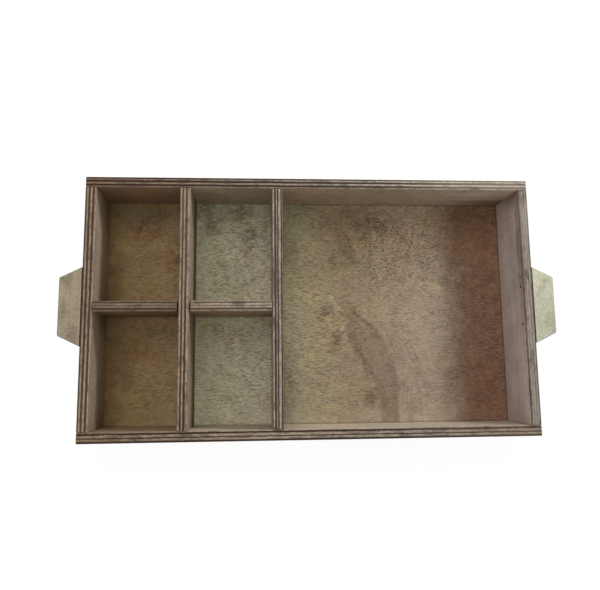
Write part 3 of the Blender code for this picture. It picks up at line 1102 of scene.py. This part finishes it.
def calm_places(where, crinkled):
    """How much weaker the flecks are, from 0 to 1."""
    x, y = split(where)[:2]
    calm = step(x, -158, -174) * 0.55 + step(x, -82, -102) * 0.2
    calm += step(y, -84, -98) * 0.35 - crinkled * 0.2
    calm += spot(where, (90, -55, 6), (100, 80, 60)) * 0.4
    return calm + spot(where, (-12, -98, 6), (44, 40, 60)) * 0.35


def floor_grain(where):
    """The flecks, the lightness under them, and the height."""
    patchy = (clouds(where, 10, 3.0) - 0.5) * 0.22
    wavy = unevenly(where, 8, 4)
    dashes = clouds(drawn_out(wavy, only(LONG, 4.2)), 1.2, 3.0, 0.6) + patchy
    dashes = rise(dashes, 0.46, 0.62)
    crinkles = clouds(drawn_out(wavy, only(LONG, 2.1)), 1.4, 3.0, 0.65) + patchy
    crinkles = rise(crinkles, 0.46, 0.6)
    crinkled = spot(where, (90, 62, 6), (110, 80, 60))
    kept = 1.0 - calm_places(where, crinkled)
    flecks = (dashes + crinkled * (crinkles - dashes)) * kept
    grit = patches(drawn_out(where, only(LONG, 1.5)), 0.9, (0.42, 0.58)) * kept
    ground = patches(drawn_out(wavy, only(LONG, 3.0)), 2.2, (0.34, 0.66), 3.0, 0.6)
    long_grain = patches(drawn_out(where, only(LONG, FIGURE_STRETCH)), 2.4, (0.34, 0.66), 3.0)
    mottle = patches(where, 11, (0.36, 0.64), 4.0, 0.62)
    light = 0.93 + grit * 0.24 + ground * 0.14 + long_grain * 0.06 + mottle * 0.14
    return flecks, light, ground * 0.5 - flecks


print("flecks let through", FLECK_TINT[:3], "of red, green and blue")

# %% Finish the base
BASE_SHEET = sheet_of("base_panel", LONG, TALL, FLAT_PLIES, evenly(shade(154, 136, 111)),
                      evenly(0.7))


def base_finish():
    """Tinted veneer above, plain veneer below, and plies round the edge."""
    material, nodes, where = new_finish("stained_plywood_base_panel")
    flecks, light, height = floor_grain(where)
    upper = toned(flame(where, bay_tints(where)), light)
    upper = tinted(upper, blend(flecks * 0.62, NO_TINT, FLECK_TINT))
    upper = stain_spots(where, upper, MOSSY_SMUDGES_AND_LIGHT, MOSS, push=24)
    upper = stain_spots(where, upper, RUSTY_SMUDGES, RUST, push=16)
    upper = stain_spots(where, upper, BROWN_SMUDGES, BROWN, push=16)
    # a dark line along every foot: painted shade in the corner, with grime and glue
    upper = blend(foot_shade_lines(where), upper, DUST_AND_SHADE)
    plain = veneer(where, BASE_SHEET)[0]
    edge_colour, edge_height = ply_edges(where, BASE_SHEET)
    is_upper = step(split(where)[TALL], 4, 5)
    face = rise(facing(nodes, TALL), *BROAD_FACE)
    colour = blend(face, edge_colour, blend(is_upper, plain, upper))
    complete(nodes, where, colour, edge_height + face * (height - edge_height))
    return material


put_on(boards["base_panel"], base_finish())
print("base finished")

# %% [markdown]
# ## Glue and pins
# Glue that shows in a joint is dark, slightly glossy and dirty in places. The panel pins are steel,
# dulled by glue and stain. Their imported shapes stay, and only get a metal finish.

# %% Finish the glue
def dried_glue():
    """Dark glue with some dirt on it."""
    material, nodes, where = new_finish("dried_glue")
    dirt = patches(where, 2, (0.36, 0.64), 3.0)
    colour = blend(dirt, shade(70, 50, 34), shade(40, 29, 22))
    complete(nodes, where, colour, dirt, matt=0.5)
    return material


put_on(glue, dried_glue())
print("glue finished")


# %% Finish the pins
def dull_steel():
    """Steel wire, slightly stained and scratched."""
    material, nodes, where = new_finish("dull_steel")
    tarnish = patches(where, 0.9, (0.38, 0.66), 3.0)
    bump = nodes.add("Bump", {}, {
        "Strength": 0.5, "Distance": 0.03 * MM, "Height": clouds(where, 0.3)})
    surface = nodes.add("BsdfPrincipled", {}, {
        "Base Color": blend(tarnish, shade(176, 174, 170), shade(112, 100, 88)),
        "Metallic": 1.0 - tarnish * 0.35, "Roughness": 0.38 + tarnish * 0.3, "Normal": bump})
    nodes.add("OutputMaterial", {}, {"Surface": surface})
    return material


steel = dull_steel()
for pin in pins:
    put_on(frame["nodes"][pin], steel)
print("steel on", len(pins), "pins")

# %% [markdown]
# ## A white floor and a white room
# The tray stands on a plain pale floor. Light Path's Is Camera Ray makes floor and room white for
# the camera without adding any light. The floor keeps a trace of the tray's shadow, because part
# of it is an ordinary matt surface.

# %% Lay the floor
FLOOR_SIDE = 8
FLOOR_DROP = 0.1 * MM
FLOOR_GREY, SHOWN_GREY, GLOW = 0.8, 0.18, 0.91
WHITE = (1, 1, 1, 1)


def seen_directly(nodes):
    """1 for what the camera sees, straight or in a reflection."""
    rays = [nodes.add("LightPath", output=name)
            for name in ("Is Camera Ray", "Is Glossy Ray", "Is Transmission Ray")]
    total = rays[0] + rays[1] + rays[2]
    return total.maths("MINIMUM", total, 1.0)


def floor_finish():
    """Matt and pale, with a glow of its own that only the camera sees."""
    material, nodes, _ = new_finish("pale_floor")
    matt, shown = (nodes.add("BsdfDiffuse", {}, {"Color": (grey, grey, grey, 1.0)})
                   for grey in (FLOOR_GREY, SHOWN_GREY))
    glow = nodes.add("Emission", {}, {"Color": WHITE, "Strength": GLOW})
    bright = nodes.add("AddShader", {}, {0: shown, 1: glow})
    surface = nodes.add("MixShader", {}, {0: seen_directly(nodes), 1: matt, 2: bright})
    nodes.add("OutputMaterial", {}, {"Surface": surface})
    return material


bpy.ops.mesh.primitive_plane_add(size=FLOOR_SIDE, location=(0, 0, packed_low.z - FLOOR_DROP))
floor = bpy.context.active_object
floor.name = "pale_floor"
bpy.ops.object.transform_apply()
put_on(floor, floor_finish())
print("floor side:", FLOOR_SIDE, "m")

# %% Paint the room
AMBIENT = 0.51

room = bpy.data.worlds.new("white_room")
bpy.context.scene.world = room
room.use_nodes = True
nodes = Nodes(room.node_tree)
soft, white = (nodes.add("Background", {}, {"Color": WHITE, "Strength": strength})
               for strength in (AMBIENT, 1.0))
both = nodes.add("MixShader", {}, {0: seen_directly(nodes), 1: soft, 2: white})
nodes.add("OutputWorld", {}, {"Surface": both})
print("room light:", AMBIENT)

# %% [markdown]
# ## Light
# Three lights share the work. The room gives even light from all sides. A large soft panel, high
# behind the tray, makes the floor brighter towards the front. A small lamp stands low beyond the
# back right corner. It shines over the rims, so the right wall throws a soft shadow on the large
# bay's floor, and of the faces in the small bays only the tops are lit.

# %% Set the panel and the lamp
PANEL_PLACE, PANEL_AIM = Vector((-0.169, 0.631, 1.006)), Vector((0, 0, 0))
LAMP_PLACE, LAMP_AIM = Vector((0.344, 0.321, 0.187)), Vector((-0.415, -0.316, 0.048))
PANEL_POWER, LAMP_POWER = 2.83, 5.65


def set_light(kind, name, place, aim, energy):
    """A light at one place, turned towards another."""
    bpy.ops.object.light_add(type=kind, location=place)
    light = bpy.context.active_object
    light.name = name
    light.rotation_euler = (aim - place).to_track_quat("-Z", "Y").to_euler()
    light.data.energy = energy
    light.visible_camera = False
    return light


panel = set_light("AREA", "soft_panel", PANEL_PLACE, PANEL_AIM, PANEL_POWER)
panel.data.size = 0.7
lamp = set_light("SPOT", "low_lamp", LAMP_PLACE, LAMP_AIM, LAMP_POWER)
lamp.data.shadow_soft_size = 0.035
lamp.data.spot_size = math.radians(76)
lamp.data.spot_blend = 1.0
print("lamp is", round((LAMP_AIM - LAMP_PLACE).length, 3), "m from what it is aimed at")

# %% [markdown]
# ## The camera
# The photograph was taken from above, a little left of the tray's middle and tilted by a few
# degrees, which is why the inner faces of the right and back walls show.

# %% Place the camera
CAMERA_PLACE = (-0.0415, -0.0566, 0.5421)
CAMERA_TURN = (7.686, -3.490, -0.627)
LENS = 34.47

bpy.ops.object.camera_add(location=CAMERA_PLACE,
                          rotation=[math.radians(angle) for angle in CAMERA_TURN])
camera = bpy.context.active_object
camera.name = "camera_above"
camera.data.sensor_width = 36
camera.data.lens = LENS
camera.data.clip_start = 0.01
bpy.context.scene.camera = camera
bpy.context.scene.view_settings.view_transform = "Standard"
print("camera is", round(camera.location.z, 3), "m above the floor")
